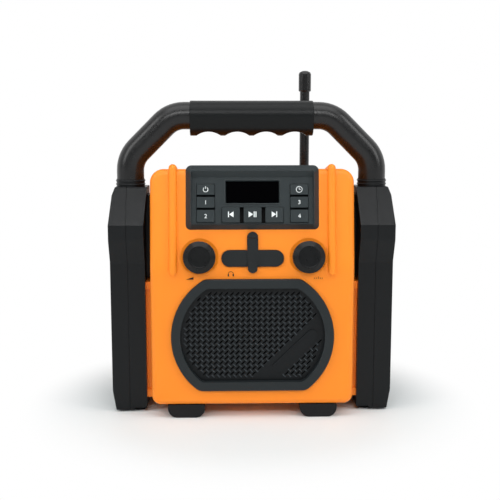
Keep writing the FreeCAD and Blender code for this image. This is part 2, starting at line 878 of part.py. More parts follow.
def handle_tube():
    """Bent round tube."""
    path = handle_path()
    foot = Vector(-tube_x, tube_y, pod_socket_floor)
    outside = path.makePipeShell([Part.Wire(Part.makeCircle(tube_radius, foot))], True, False)
    inside = path.makePipeShell([Part.Wire(Part.makeCircle(tube_radius - tube_wall, foot))], True, False)
    return outside.cut(inside)


def handle_grip():
    """Moulded sleeve with finger hollows along its underside."""
    lean = math.asin((grip_keel_radius - grip_radius) / grip_keel_drop)
    nx, ny = math.cos(lean), math.sin(lean)
    keel = [(nx * grip_radius, ny * grip_radius), (-nx * grip_radius, ny * grip_radius),
            (-nx * grip_keel_radius, ny * grip_keel_radius - grip_keel_drop),
            (nx * grip_keel_radius, ny * grip_keel_radius - grip_keel_drop)]
    half = grip_half_length
    body = join([disc(grip_radius, 0, 0, -half, half), disc(grip_keel_radius, 0, -grip_keel_drop, -half, half),
                 plate_of(keel, 0, -half, half)])
    body = place(body, SIDE)
    ends = [e for e in body.Edges if abs(abs(e.CenterOfMass.x) - half) < 1e-3 and e.BoundBox.XLength < 1e-3]
    body = body.makeFillet(grip_end_round, ends)
    chord = (grip_hollow_pitch - grip_crest_width) / 2
    radius = (chord ** 2 + grip_hollow_depth ** 2) / (2 * grip_hollow_depth)
    low = -grip_keel_drop - grip_keel_radius + grip_hollow_depth - radius
    for i in range(grip_hollow_count):
        x = (i - (grip_hollow_count - 1) / 2) * grip_hollow_pitch
        body = body.cut(rod(radius, Vector(x, -grip_radius * 2, low), Vector(x, grip_radius * 2, low)))
    body = body.cut(rod(tube_radius, Vector(-half * 2, 0, 0), Vector(half * 2, 0, 0)))
    body.translate(Vector(0, tube_y, handle_height))
    return body


def feet(front):
    """Pair of stout rubber feet at one Y."""
    pair = []
    for side in (-1, 1):
        x0, x1 = sorted((side * foot_inner_x, side * foot_outer_x))
        corners = rectangle(x0, x1, 0, case_bottom)
        pair.append(place(plate_of(corners, [foot_round, foot_round, 0, 0], -front - foot_depth, -front), FRONT))
    return pair


def control_bezel():
    """Hooded frame round the display and the keys."""
    base = outline(rectangle(-bezel_half_width, bezel_half_width, bezel_low, bezel_high),
                   [bezel_corner * 0.8] * 2 + [bezel_corner] * 2)
    rim = outline(rectangle(-rim_half_width, rim_half_width, rim_low, rim_high), bezel_corner / 2)
    rim.translate(Vector(0, 0, bezel_rise))
    frame = place(Part.makeLoft([base, rim], True, True), PANEL)
    half = plate_half_width + skirt_margin
    skirt = block(-half, half, -skirt_margin, plate_length + skirt_margin, -skirt_depth, bezel_rise)
    far = case_depth * 2
    below = block(-far, far, -far, far, -far, 0)
    frame = frame.fuse(place(skirt, PLATE).common(place(below, PANEL)))
    frame = frame.cut(place(bezel_hollow(), PANEL))
    through = block(-plate_half_width, plate_half_width, 0, plate_length, -case_depth, fit_clearance)
    flange = plate_flange + cover_clearance
    pocket = block(-plate_half_width - flange, plate_half_width + flange, -flange, plate_length + flange,
                   -case_depth, -plate_thickness)
    return frame.cut(place(through, PLATE)).cut(place(pocket, PLATE))


def bezel_hollow():
    """Space inside the hood, from its rim down to the plate, on the panel's plane."""
    drop = plate_length * math.sin(math.radians(plate_extra_tilt))
    top = rim_low + plate_length * math.cos(math.radians(plate_extra_tilt))
    above = bezel_rise * 2
    corners = [(rim_low, plate_foot_rise), (top, plate_foot_rise - drop), (rim_high - hood_lip, bezel_rise),
               (rim_high - hood_lip, above), (rim_low, above)]
    wire = Part.makePolygon([Vector(-plate_half_width, a, w) for a, w in corners + [corners[0]]])
    return Part.Face(wire).extrude(Vector(2 * plate_half_width, 0, 0))


def key_list():
    """Every key as name, low X, high X, low and high edge up the plate, and its flange direction."""
    keys = []
    columns = ((-key_side_x, ("key_power", "key_one", "key_two")), (key_side_x, ("key_clock", "key_three", "key_four")))
    for x, names in columns:
        for name, (low, high) in zip(names, (top_row, middle_row, bottom_row)):
            keys.append((name, x - key_width / 2, x + key_width / 2, low, high, "side"))
    for i, name in enumerate(("key_previous", "key_play", "key_next")):
        x = (i - 1) * transport_pitch
        keys.append((name, x - key_width / 2, x + key_width / 2, transport_row[0], transport_row[1], "end"))
    return keys


def key_openings():
    """Openings of the plate: one for each column of keys and one for the row below the display."""
    gap = key_clearance
    half = key_width / 2 + gap
    low, high = bottom_row[0] - gap, top_row[1] + gap
    spans = [(x - half, x + half, low, high) for x in (-key_side_x, key_side_x)]
    reach = transport_pitch + half
    spans.append((-reach, reach, transport_row[0] - gap, transport_row[1] + gap))
    return spans


def key(x0, x1, low, high, flange_side):
    """Key with a rounded face and a flange that stops behind the plate."""
    cap = plate_of(rectangle(x0, x1, low, high), key_round, key_flange_n - fit_clearance, key_rise)
    face = [e for e in cap.Edges if abs(e.CenterOfMass.z - key_rise) < 1e-3]
    cap = cap.makeFillet(key_round / 2, face)
    dx = key_flange_reach if flange_side == "side" else -key_clearance
    dy = -key_clearance if flange_side == "side" else key_flange_reach
    flange = block(x0 - dx, x1 + dx, low - dy, high + dy, key_flange_n - key_flange_thickness, key_flange_n)
    return place(cap.fuse(flange), PLATE)


def panel_plate():
    """Dark plate with openings for the display and the keys."""
    half = plate_half_width - fit_clearance
    flange = plate_flange
    plate = block(-half, half, fit_clearance, plate_length - fit_clearance, -plate_thickness, 0)
    rim = block(-half - flange, half + flange, -flange, plate_length + flange, flange_n, -plate_thickness)
    plate = plate.fuse(rim)
    corners = rectangle(-window_half_width, window_half_width, window_low, window_high)
    plate = plate.cut(plate_of(corners, key_round, flange_n, fit_clearance))
    for x0, x1, low, high in key_openings():
        plate = plate.cut(plate_of(rectangle(x0, x1, low, high), key_round, flange_n, fit_clearance))
    return place(plate, PLATE)


def display_window():
    """Black pane set into the plate."""
    gap = fit_clearance
    corners = rectangle(-window_half_width + gap, window_half_width - gap, window_low + gap, window_high - gap)
    return place(plate_of(corners, key_round, flange_n, -window_recess), PLATE)


def module_rectangle(grow):
    """Outline of the display module on the plate's plane."""
    return (-window_half_width - module_margin - grow, window_half_width + module_margin + grow,
            window_low - module_margin / 2 - grow, window_high + module_margin - grow)


def display_module():
    """Display cell behind the pane."""
    x0, x1, low, high = module_rectangle(0)
    return place(block(x0, x1, low, high, board_n, flange_n), PLATE)


def key_mat():
    """Rubber sheet with a dome under every key."""
    half = plate_half_width + plate_flange
    top = board_n + mat_thickness
    dome_top = key_flange_n - key_flange_thickness - key_travel - fit_clearance
    mat = block(-half, half, -plate_flange, plate_length + plate_flange, board_n, top)
    x0, x1, low, high = module_rectangle(cover_clearance)
    mat = mat.cut(block(x0, x1, low, plate_length * 2, board_n, top))
    domes = []
    for name, x0, x1, low, high, flange_side in key_list():
        domes.append(disc(dome_radius, (x0 + x1) / 2, (low + high) / 2, top - fit_clearance, dome_top))
    return place(join([mat] + domes), PLATE)


def key_board():
    """Circuit board that closes the frame from behind."""
    half = plate_half_width + skirt_margin - fit_clearance
    return place(block(-half, half, fit_clearance - skirt_margin, plate_length + skirt_margin - fit_clearance,
                       board_n - board_thickness, board_n), PLATE)


def knob(x):
    """Round knob with a sloped ring round its face and a hollow underside."""
    start = knob_under_gap - dish_depth
    roof = bushing_rise + knob_cap_wall + fit_clearance * 6
    bore = shaft_reach
    points = [(shaft_radius, roof), (shaft_radius, bore), (0, bore), (0, knob_rise - knob_face_recess),
              (knob_face_radius - knob_face_recess, knob_rise - knob_face_recess), (knob_face_radius, knob_rise),
              (knob_face_radius + 0.6, knob_rise), (knob_radius - 0.6, knob_shoulder + 0.5),
              (knob_radius, knob_shoulder), (knob_radius, start), (knob_radius - knob_cap_wall, start),
              (knob_radius - knob_cap_wall, roof)]
    return place(turned(points, x, knob_height), PANEL)


def control_shaft(x):
    """Shaft that turns with its knob."""
    return place(disc(shaft_radius, x, knob_height, -case_wall - control_body_depth + 1, shaft_reach), PANEL)


def control_body(x):
    """Rotary control with its threaded bushing."""
    under = -case_wall
    body = disc(control_body_radius, x, knob_height, under - control_body_depth, under)
    body = body.fuse(disc(bushing_radius, x, knob_height, under, bushing_rise))
    bore = disc(shaft_radius + shaft_clearance, x, knob_height, under - control_body_depth + 1 - fit_clearance,
                bushing_rise)
    return place(body.cut(bore), PANEL)


def control_nuts():
    """Hexagon nuts that hold the rotary controls."""
    nuts = []
    for x in knob_places:
        circumradius = nut_across / 2 / math.cos(math.pi / 6)
        points = [(x + circumradius * math.cos(math.radians(60 * i)),
                   knob_height + circumradius * math.sin(math.radians(60 * i))) for i in range(6)]
        nut = plate_of(points, 0, -dish_depth, -dish_depth + nut_thickness)
        bore = disc(bushing_radius, x, knob_height, -dish_depth, -dish_depth + nut_thickness)
        nuts.append(place(nut.cut(bore), PANEL))
    return Part.Compound(nuts)


def socket_flap():
    """Rubber cover with its strap and finger tab."""
    bottom = fit_clearance - flap_recess
    cover, strap = flap_outline(0, bottom, flap_rise, strap_rise)
    tab_half = tab_width / 2
    tab = plate_of(rectangle(-tab_half, tab_half, tab_low, tab_high), [tab_half - 0.1] * 2 + [0, 0],
                   fit_clearance, tab_rise)
    flap = join([cover, strap, tab])
    far = case_half_width
    keep = block(-far, far, tab_low - 1, hinge_height, bottom, tab_rise + 1)
    return place(flap.common(keep), PANEL)


def flap_anchor():
    """Fixed end of the strap, plugged through the case."""
    bottom = fit_clearance - flap_recess
    cover, strap = flap_outline(0, -flap_recess, flap_rise, strap_rise)
    far = case_half_width
    top = strap.common(block(-far, far, hinge_height + hinge_gap, far, -flap_recess, strap_rise))
    middle = (hinge_height + strap_top) / 2
    stem = disc(anchor_stem_radius, 0, middle, -case_wall * 2, 0)
    barb = disc(anchor_barb_radius, 0, middle, -case_wall * 2, -case_wall)
    return place(join([top, stem, barb]), PANEL)


def socket_middle():
    """Height of the sockets up the panel."""
    return (flap_low + flap_high) / 2


def audio_socket(x):
    """Panel socket for a small plug."""
    half = socket_body_size / 2
    y = socket_middle()
    depth = -flap_recess - socket_bore_depth
    body = block(x - half, x + half, y - half, y + half, depth, -case_wall)
    nose = disc(socket_nose_radius, x, y, -case_wall, -flap_recess)
    bore = disc(socket_bore_radius, x, y, depth, 0)
    return place(body.fuse(nose).cut(bore), PANEL)


def grille_back():
    """Back of the grille, as a height over the front drawing plane."""
    return -front_y + frame_proud - grille_recess - grille_thickness


def speaker_frame():
    """Proud ring round the grille, with a skirt into the case."""
    ring = oval(0, oval_blend, -front_y, -front_y + frame_proud)
    rim = [e for e in ring.Edges if abs(e.CenterOfMass.z + front_y - frame_proud) < 1e-3]
    ring = ring.makeFillet(frame_edge_round, rim)
    skirt = oval(frame_ring_width - skirt_wall, oval_inner_blend, grille_back(), -front_y)
    opening = oval(frame_ring_width, oval_inner_blend, grille_back(), -front_y + frame_proud)
    return place(ring.fuse(skirt).cut(opening), FRONT)


def badge_frame(shape):
    """Turn a shape drawn along X to the badge's slant and move it to the badge's middle."""
    turn = Placement(Vector(badge_x, badge_height, 0), Rotation(Vector(0, 0, 1), badge_angle))
    return shape.transformed(turn.toMatrix())


def in_band(x, z):
    """True for a place on the plain slanted band that carries the badge."""
    angle = math.radians(badge_angle)
    across = -(x - badge_x) * math.sin(angle) + (z - badge_height) * math.cos(angle)
    return -badge_width / 2 - band_margin_low < across < badge_width / 2 + band_margin_high


def in_oval(x, z, offset):
    """True for a place inside the loudspeaker outline, moved in by offset."""
    from_side_centre = math.hypot(max(abs(x) - oval_side_centre, 0), z - speaker_height + oval_side_drop)
    return abs(z - speaker_height) < oval_half_height - offset and from_side_centre < oval_side_radius - offset


def slot_wire(x, z, height):
    """Outline of one slanted slot."""
    half_length = slot_length / 2
    half_width = slot_width / 2
    corners = []
    for along, across in ((-1, -1), (1, -1), (1, 1), (-1, 1)):
        a, b = along * half_length, across * half_width
        corners.append(Vector(x + (a - b) * math.sqrt(0.5), z + (a + b) * math.sqrt(0.5), height))
    return Part.makePolygon(corners + [corners[0]])


def slot_places():
    """Centres of the grille's slots."""
    reach = oval_side_centre + oval_side_radius
    columns = int(reach / slot_pitch_x)
    rows = int(oval_half_height / slot_pitch_z)
    inset = frame_ring_width + slot_margin + slot_length / 2
    places = [(slot_shift_x + i * slot_pitch_x, speaker_height + slot_shift_z + j * slot_pitch_z)
              for i in range(-columns, columns + 1) for j in range(-rows, rows + 1)]
    return [(x, z) for x, z in places if in_oval(x, z, inset) and not in_band(x, z)]


def speaker_grille():
    """Grille with rows of slanted slots and a plain raised bar on its slanted band."""
    back = grille_back()
    blank = oval(frame_ring_width + fit_clearance, oval_inner_blend, back, back + grille_thickness)
    base = min(blank.Faces, key=lambda face: face.CenterOfMass.z)
    holes = [slot_wire(x, z, back) for x, z in slot_places()]
    face = Part.Face([base.OuterWire] + holes)
    return join([place(face.extrude(Vector(0, 0, grille_thickness)), FRONT), grille_badge()])


def grille_badge():
    """Plain raised bar on the grille's slanted band."""
    front = grille_back() + grille_thickness
    half_length, half_width = badge_length / 2, badge_width / 2
    bar = plate_of(rectangle(-half_length, half_length, -half_width, half_width), half_width - 0.1,
                   front, front + badge_rise)
    bar = badge_frame(bar)
    return place(bar.common(oval(frame_ring_width + slot_margin, oval_inner_blend, front, front + badge_rise)), FRONT)


def speaker_baffle():
    """Black board behind the grille that carries the driver."""
    front = grille_back()
    board = oval(frame_ring_width - skirt_wall - baffle_overlap, oval_blend, front - baffle_thickness, front)
    hole = disc(cone_radius + 1, 0, speaker_height, front - baffle_thickness, front)
    return place(board.cut(hole), FRONT)


def driver_front():
    """Front of the driver, as a height over the front drawing plane."""
    return grille_back() - baffle_thickness


def speaker_screw_places():
    """Screws round the driver's flange, as X and Z."""
    return [(screw_circle * math.cos(math.radians(45 + 360 / speaker_screw_count * i)),
             speaker_height + screw_circle * math.sin(math.radians(45 + 360 / speaker_screw_count * i)))
            for i in range(speaker_screw_count)]


def speaker_basket():
    """Pressed steel frame of the driver."""
    h = driver_front()
    t = driver_flange_thickness
    neck = basket_neck_radius
    points = [(cone_radius + 1, h), (driver_flange_radius, h), (driver_flange_radius, h - t), (cone_radius + 1, h - t),
              (neck, h - basket_depth), (voice_coil_radius + 1, h - basket_depth),
              (voice_coil_radius + 1, h - basket_depth + t), (neck - t, h - basket_depth + t),
              (cone_radius + 1, h - cone_edge - fit_clearance)]
    basket = turned(points, 0, speaker_height)
    for x, z in speaker_screw_places():
        basket = basket.cut(disc(screw_radius, x, z, h - t, h))
    return place(basket, FRONT)


def speaker_cone():
    """Paper cone with its dust cap."""
    h = driver_front()
    t = cone_edge
    deep = h - basket_depth + driver_flange_thickness
    points = [(cone_radius + 1, h), (cone_radius + 1, h - t), (cone_radius - 4, h - t - 0.5),
              (voice_coil_radius, deep), (0, deep), (0, deep + 4), (voice_coil_radius, deep + t + 0.6),
              (cone_radius - 4, h - 0.5)]
    return place(turned(points, 0, speaker_height), FRONT)


def speaker_magnet():
    """Ring magnet and back plate behind the basket."""
    h = driver_front() - basket_depth
    return place(disc(magnet_radius, 0, speaker_height, h - magnet_depth, h), FRONT)


def speaker_screws():
    """Screws that hold the driver to the baffle."""
    h = driver_front()
    seat = h - driver_flange_thickness
    screws = []
    for x, z in speaker_screw_places():
        head = disc(screw_head_radius, x, z, seat - screw_head_height, seat)
        screws.append(place(head.fuse(disc(screw_radius, x, z, seat, h)), FRONT))
    return Part.Compound(screws)


def cell_rows_z():
    """Heights of the rows of cells."""
    return [compartment_height + (i - (cell_rows - 1) / 2) * cell_pitch for i in range(cell_rows)]


def cell_y():
    """Depth of the cells' axes."""
    return holder_front + holder_wall + cell_radius


def battery_holder():
    """Open box behind the battery door, with a divider between the two columns."""
    half = holder_half_width
    low = compartment_height - door_opening_half_height - holder_wall
    high = compartment_height + door_opening_half_height + holder_wall
    inner_y = rear_y - case_wall
    box = block(-half, half, holder_front, inner_y, low, high)
    inside = block(-half + holder_wall, half - holder_wall, holder_front + holder_wall, inner_y,
                   low + holder_wall, high - holder_wall)
    divider = block(-divider_half_width, divider_half_width, holder_front, inner_y - cell_radius / 2, low, high)
    posts = [rod(contact_radius, Vector(x, holder_front - main_board_post, z), Vector(x, holder_front, z))
             for x in (-main_board_half_width + 6, main_board_half_width - 6)
             for z in (main_board_low + 6, main_board_high - 6)]
    return join([box.cut(inside), divider] + posts)


def battery_cells():
    """Six round cells in two columns."""
    cells = []
    for side in (-1, 1):
        for z in cell_rows_z():
            start = side * divider_half_width
            end = side * (divider_half_width + cell_length)
            can = rod(cell_radius, Vector(start, cell_y(), z), Vector(end - side * cell_nub_length, cell_y(), z))
            nub = rod(cell_nub_radius, Vector(end - side * cell_nub_length, cell_y(), z), Vector(end, cell_y(), z))
            cells.append(can.fuse(nub))
    return Part.Compound(cells)


def battery_contacts():
    """Sprung contacts at the outer end of every cell."""
    contacts = []
    wall = holder_half_width - holder_wall
    for side in (-1, 1):
        for z in cell_rows_z():
            tip = side * (divider_half_width + cell_length)
            contacts.append(rod(contact_radius, Vector(tip, cell_y(), z), Vector(side * wall, cell_y(), z)))
    return Part.Compound(contacts)


def main_board():
    """Main circuit board on the front of the battery holder."""
    y = holder_front - main_board_post
    return block(-main_board_half_width, main_board_half_width, y - board_thickness, y, main_board_low,
                 main_board_high)


def battery_door():
    """Door with hinge knuckles at its foot and holes for the two thumb screws."""
    corners = rectangle(-door_half_width, door_half_width, door_low, door_top)
    panel = place(plate_of(corners, door_corner, -door_outer_y, -door_inner_y), FRONT)
    outer = [e for e in panel.Edges if abs(e.CenterOfMass.y - door_outer_y) < 1e-3]
    panel = panel.makeFillet(door_edge_round, outer)
    y, z = hinge_axis()
    pieces = [panel]
    for side in (-1, 1):
        x0 = side * hinge_centre_x - hinge_knuckle_width / 2
        x1 = x0 + hinge_knuckle_width
        pieces.append(rod(hinge_knuckle_radius, Vector(x0, y, z), Vector(x1, y, z)))
        pieces.append(block(x0, x1, door_inner_y, y + 0.2, z, door_low + 2))
    door = join(pieces)
    for side in (-1, 1):
        door = door.cut(rod(hinge_pin_radius + shaft_clearance, Vector(side * hinge_centre_x - hinge_knuckle_width, y, z),
                            Vector(side * hinge_centre_x + hinge_knuckle_width, y, z)))
        x = side * door_screw_x
        door = door.cut(rod(door_screw_shank_radius + shaft_clearance, Vector(x, rear_y, door_screw_z),
                            Vector(x, door_outer_y + 1, door_screw_z)))
    return door


def door_pins():
    """Pins that the battery door turns on."""
    y, z = hinge_axis()
    reach = hinge_knuckle_width / 2 + hinge_side_gap + hinge_lug_width
    return Part.Compound([rod(hinge_pin_radius, Vector(side * hinge_centre_x - reach, y, z),
                              Vector(side * hinge_centre_x + reach, y, z)) for side in (-1, 1)])


def door_seal():
    """Soft ring between the rear shell and the battery door."""
    half_x = door_opening_half_width + door_seal_offset
    half_z = door_opening_half_height + door_seal_offset
    outer = rectangle(-half_x - door_seal_width, half_x + door_seal_width,
                      door_mid - half_z - door_seal_width, door_mid + half_z + door_seal_width)
    inner = rectangle(-half_x, half_x, door_mid - half_z, door_mid + half_z)
    top = -rear_y
    low = -door_inner_y + fit_clearance
    ring = plate_of(outer, door_corner, low, top).cut(plate_of(inner, door_corner / 2, low, top))
    return place(ring, FRONT)


def door_screw(x):
    """Captive thumb screw with a slotted head."""
    z = door_screw_z
    gap = fit_clearance
    tip = rear_y - door_screw_reach
    shank = rod(door_screw_shank_radius, Vector(x, tip, z), Vector(x, door_outer_y + gap, z))
    head = rod(door_screw_head_radius, Vector(x, door_outer_y + gap, z), Vector(x, -knob_front_y, z))
    rim = [e for e in head.Edges if abs(e.CenterOfMass.y + knob_front_y) < 1e-3]
    head = head.makeFillet(door_edge_round, rim)
    slot = block(x - door_screw_head_radius, x + door_screw_head_radius, -knob_front_y - thumb_slot_depth,
                 -knob_front_y + 1, z - thumb_slot_width / 2, z + thumb_slot_width / 2)
    clip_y = door_inner_y - gap
    clip = rod(door_clip_radius, Vector(x, clip_y - door_clip_thickness, z), Vector(x, clip_y, z))
    return shank.fuse([head.cut(slot), clip])


def dc_inlet():
    """Round power inlet with its centre pin."""
    x, z = inlet_x, inlet_height
    face = rear_y + inlet_flange
    barrel = rod(inlet_radius, Vector(x, face - inlet_bore_depth - 3, z), Vector(x, rear_y, z))
    flange = rod(inlet_flange_radius, Vector(x, rear_y, z), Vector(x, face, z))
    bore = rod(inlet_bore_radius, Vector(x, face - inlet_bore_depth, z), Vector(x, face + 1, z))
    pin = rod(inlet_pin_radius, Vector(x, face - inlet_bore_depth, z), Vector(x, face - 1, z))
    return barrel.fuse(flange).cut(bore).fuse(pin)


def aerial_base():
    """Foot with two ears on the ledge."""
    y0 = aerial_y - knuckle_width / 2 - hinge_gap - ear_width
    y1 = aerial_y + knuckle_width / 2 + hinge_gap + ear_width
    low = ledge_height
    pieces = [block(aerial_x - ear_radius * 1.6, aerial_x + ear_radius * 1.6, y0, y1, low, low + base_plate)]
    for start in (y0, y1 - ear_width):
        pieces.append(block(aerial_x - ear_radius, aerial_x + ear_radius, start, start + ear_width, low,
                            aerial_pivot_height))
        pieces.append(rod(ear_radius, Vector(aerial_x, start, aerial_pivot_height),
                          Vector(aerial_x, start + ear_width, aerial_pivot_height)))
    base = join(pieces)
    return base.cut(rod(pivot_radius, Vector(aerial_x, y0, aerial_pivot_height),
                        Vector(aerial_x, y1, aerial_pivot_height)))


def aerial_pin():
    """Pin through the ears."""
    half = knuckle_width / 2 + hinge_gap + ear_width
    return rod(pivot_radius, Vector(aerial_x, aerial_y - half, aerial_pivot_height),
               Vector(aerial_x, aerial_y + half, aerial_pivot_height))


def aerial_mast():
    """Flexible mast with a flat knuckle."""
    x, y, z = aerial_x, aerial_y, aerial_pivot_height
    half = knuckle_width / 2
    knuckle = rod(knuckle_radius, Vector(x, y - half, z), Vector(x, y + half, z))
    neck = block(x - mast_radius, x + mast_radius, y - half, y + half, z, z + mast_start + 1)
    stem = rod(mast_radius, Vector(x, y, z + mast_start), Vector(x, y, aerial_cap_height))
    core = rod(mast_radius - 1, Vector(x, y, z + mast_start), Vector(x, y, aerial_tip_height - 4))
    neck = neck.common(rod(mast_radius, Vector(x, y, z), Vector(x, y, z + mast_start + 1)))
    mast = join([knuckle, neck, stem, core])
    return mast.cut(rod(pivot_radius + shaft_clearance, Vector(x, y - half, z), Vector(x, y + half, z)))


def aerial_cap():
    """Fat tip moulded over the mast."""
    low, high = aerial_cap_height, aerial_tip_height
    shoulder = 1.0
    r = cap_radius
    points = [(mast_radius - 1, low), (r - 0.6, low), (r, low + 0.8), (r, high - shoulder * 3.2),
              (r * 0.86, high - shoulder * 1.5), (r * 0.45, high - shoulder * 0.3), (0, high),
              (0, high - 4), (mast_radius - 1, high - 4)]
    return turned(points, aerial_x, aerial_y)


def aerial_clip():
    """Rest for the folded aerial: two jaws and an end stop."""
    low = ledge_height
    half = cap_radius + clip_jaw_gap + clip_jaw_wall
    foot_end = clip_jaw_x + clip_width / 2
    stop_x = clip_x - clip_width / 2
    pieces = [block(stop_x, foot_end, aerial_y - half, aerial_y + half, low, low + base_plate / 2)]
    stop = plate_of(rectangle(stop_x, stop_x + clip_width, low, clip_top), [0, 0, 3.5, 3.5],
                    -aerial_y - half * 0.6, -aerial_y + half * 0.6)
    pieces.append(place(stop, FRONT))
    for side in (-1, 1):
        near = aerial_y + side * (cap_radius + clip_jaw_gap)
        far = aerial_y + side * half
        y0, y1 = min(near, far), max(near, far)
        pieces.append(block(clip_jaw_x - clip_width / 2, foot_end, y0, y1, low, aerial_pivot_height + cap_radius / 2))
    return join(pieces)


def nodes():
    """Every node of the radio."""
    front, rear = shells()
    inner, outer = right_pod()
    made = {
        "front_shell": front,
        "rear_shell": rear,
        "shell_gasket": shell_gasket(),
        "case_screws": case_screws(),
        "right_pod_inner": inner,
        "right_pod_outer": outer,
        "left_pod_inner": mirror_x(inner),
        "left_pod_outer": mirror_x(outer),
        "pod_screws": pod_screws(),
        "pod_feet": Part.Compound([pod_foot(), mirror_x(pod_foot())]),
        "handle_collars": Part.Compound([collar(), mirror_x(collar())]),
        "handle_tube": handle_tube(),
        "handle_grip": handle_grip(),
        "case_feet": Part.Compound(feet(foot_front) + feet(-foot_front - foot_depth)),
        "control_bezel": control_bezel(),
        "panel_plate": panel_plate(),
        "display_window": display_window(),
        "display_module": display_module(),
        "key_mat": key_mat(),
        "key_board": key_board(),
        "volume_knob": knob(knob_places[0]),
        "tuning_knob": knob(knob_places[1]),
        "volume_shaft": control_shaft(knob_places[0]),
        "tuning_shaft": control_shaft(knob_places[1]),
        "rotary_controls": Part.Compound([control_body(x) for x in knob_places]),
        "control_nuts": control_nuts(),
        "socket_flap": socket_flap(),
        "flap_anchor": flap_anchor(),
        "audio_jacks": Part.Compound([audio_socket(-socket_x), audio_socket(socket_x)]),
        "speaker_frame": speaker_frame(),
        "speaker_grille": speaker_grille(),
        "speaker_baffle": speaker_baffle(),
        "speaker_basket": speaker_basket(),
        "speaker_cone": speaker_cone(),
        "speaker_magnet": speaker_magnet(),
        "speaker_screws": speaker_screws(),
        "battery_holder": battery_holder(),
        "battery_cells": battery_cells(),
        "battery_contacts": battery_contacts(),
        "main_board": main_board(),
        "battery_door": battery_door(),
        "door_pins": door_pins(),
        "door_seal": door_seal(),
        "door_screw_left": door_screw(-door_screw_x),
        "door_screw_right": door_screw(door_screw_x),
        "dc_inlet": dc_inlet(),
        "antenna_base": aerial_base(),
        "antenna_pin": aerial_pin(),
        "antenna_mast": aerial_mast(),
        "antenna_cap": aerial_cap(),
        "antenna_clip": aerial_clip(),
    }
    for name, x0, x1, low, high, flange_side in key_list():
        made[name] = key(x0, x1, low, high, flange_side)
    return made


os.makedirs("parts", exist_ok=True)
for name, shape in nodes().items():
    shape.exportStep("parts/" + name + ".step")
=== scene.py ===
import math
import bpy
import numpy as np
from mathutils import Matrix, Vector


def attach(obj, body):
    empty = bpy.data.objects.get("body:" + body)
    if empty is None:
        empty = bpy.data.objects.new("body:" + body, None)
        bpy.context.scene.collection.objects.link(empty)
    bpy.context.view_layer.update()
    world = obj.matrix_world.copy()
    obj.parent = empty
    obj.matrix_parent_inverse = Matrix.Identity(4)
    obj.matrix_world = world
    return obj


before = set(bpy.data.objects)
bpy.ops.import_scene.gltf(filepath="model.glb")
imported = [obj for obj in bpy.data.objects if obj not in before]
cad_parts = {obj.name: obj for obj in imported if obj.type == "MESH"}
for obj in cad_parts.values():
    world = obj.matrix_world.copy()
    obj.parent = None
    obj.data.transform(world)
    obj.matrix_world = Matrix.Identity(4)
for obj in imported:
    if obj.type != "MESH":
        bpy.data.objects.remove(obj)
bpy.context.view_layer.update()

# View: a long lens at the height of the handle, a little to the left of the middle, looking
# slightly down at the radio's front.
view_place = (-0.0213, -0.8013, 0.2578)
view_tilt = math.radians(8.44)
view_turn = math.radians(1.46)
lens = bpy.data.cameras.new("view")
lens.sensor_width = 36.0
lens.lens = 64.8
lens.clip_end = 20.0
camera = bpy.data.objects.new("view", lens)
camera.location = view_place
camera.rotation_euler = (math.pi / 2 - view_tilt, 0.0, -view_turn)
bpy.context.scene.collection.objects.link(camera)
bpy.context.scene.camera = camera
bpy.context.scene.view_settings.view_transform = "Standard"

# Floor: a pale matte sweep under the radio. Near the radio it shows the soft shadow, and
# further out it fades towards plain white, as a lit paper roll does.
floor_reach = 6.0
floor_fade_start = 0.125
floor_fade_end = 0.21


def screen(red, green, blue):
    """Linear colour of a screen colour from 0 to 255. Dark values are divided by a slope, and brighter ones
    take a small offset, are scaled back to 1 and raised to a power."""
    dark_end = 0.04045
    dark_slope = 12.92
    offset = 0.055
    power = 2.4
    value = np.array((red, green, blue)) / 255
    linear = np.where(value < dark_end, value / dark_slope, ((value + offset) / (1 + offset)) ** power)
    return (*linear.tolist(), 1.0)


def node(tree, kind, inputs=(), **settings):
    """A new shader node with its settings, its fixed inputs and its links."""
    made = tree.nodes.new(kind)
    for name, value in settings.items():
        setattr(made, name, value)
    for name, value in dict(inputs).items():
        if isinstance(value, bpy.types.NodeSocket):
            tree.links.new(value, made.inputs[name])
        else:
            made.inputs[name].default_value = value
    return made


def shown_directly(tree):
    """Socket that is 1 for what the camera sees, also in a mirror or through glass, and 0 for plain light."""
    path = node(tree, "ShaderNodeLightPath")
    seen = path.outputs["Is Camera Ray"]
    for ray in ("Is Glossy Ray", "Is Transmission Ray"):
        either = node(tree, "ShaderNodeMath", {0: seen, 1: path.outputs[ray]}, operation="MAXIMUM")
        seen = either.outputs["Value"]
    return seen


floor_corners = [(-floor_reach, -floor_reach, 0), (floor_reach, -floor_reach, 0),
                 (floor_reach, floor_reach, 0), (-floor_reach, floor_reach, 0)]
floor_mesh = bpy.data.meshes.new("floor")
floor_mesh.from_pydata(floor_corners, [], [(0, 1, 2, 3)])
floor = bpy.data.objects.new("floor", floor_mesh)
bpy.context.scene.collection.objects.link(floor)
paper_roll = bpy.data.materials.new("paper_roll")
paper_roll.use_nodes = True
tree = paper_roll.node_tree
surface = tree.nodes["Principled BSDF"]
surface.inputs["Base Color"].default_value = screen(236, 240, 240)
surface.inputs["Roughness"].default_value = 0.6
surface.inputs["Specular IOR Level"].default_value = 0.2
white = node(tree, "ShaderNodeEmission")
spot = node(tree, "ShaderNodeTexCoord")
radius = node(tree, "ShaderNodeVectorMath", {0: spot.outputs["Object"]}, operation="LENGTH")
fade = node(tree, "ShaderNodeMapRange", {"Value": radius.outputs["Value"], "From Min": floor_fade_start,
                                         "From Max": floor_fade_end}, interpolation_type="SMOOTHSTEP")
share = node(tree, "ShaderNodeMath", {0: fade.outputs["Result"], 1: shown_directly(tree)},
             operation="MULTIPLY")
mix = node(tree, "ShaderNodeMixShader", {"Fac": share.outputs["Value"], 1: surface.outputs["BSDF"],
                                         2: white.outputs["Emission"]})
